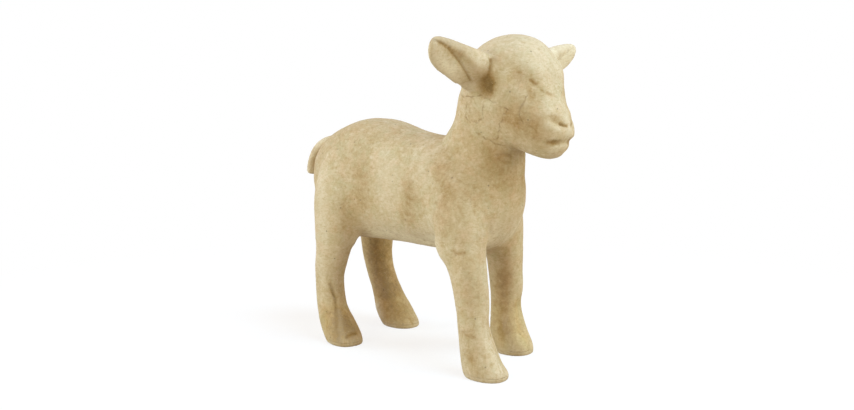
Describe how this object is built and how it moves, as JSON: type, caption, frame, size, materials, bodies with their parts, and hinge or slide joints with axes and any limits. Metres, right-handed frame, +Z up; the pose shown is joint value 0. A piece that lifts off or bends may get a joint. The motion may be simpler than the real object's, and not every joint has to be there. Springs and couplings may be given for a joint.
{
  "type": "goat figurine",
  "caption": "Standing kid goat in kraft papier-mache: hollow shell, ears held out to the sides, short tail, straight legs in a step and card soles, ready to paint.",
  "frame": {"origin": "centre of the bounding box in plan, on the ground under the hooves", "axes": "+X from tail to nose, +Y to the goat's left, +Z up"},
  "size_m": [0.1942, 0.1308, 0.18],
  "materials": {
    "kraft_shell": "matte kraft paper, laminated",
    "kraft_ear": "matte kraft paper, laminated",
    "kraft_tail": "matte kraft paper, laminated",
    "gummed_strip": "gummed paper, slight sheen",
    "card_sole": "raw grey-brown card"
  },
  "bodies": {
    "root": {"left_half_shell": "kraft_shell", "right_half_shell": "kraft_shell", "left_ear": "kraft_ear", "right_ear": "kraft_ear", "tail": "kraft_tail", "back_seam_strip": "gummed_strip", "belly_seam_strip": "gummed_strip", "front_right_sole": "card_sole", "front_left_sole": "card_sole", "hind_right_sole": "card_sole", "hind_left_sole": "card_sole"}
  },
  "joints": []
}
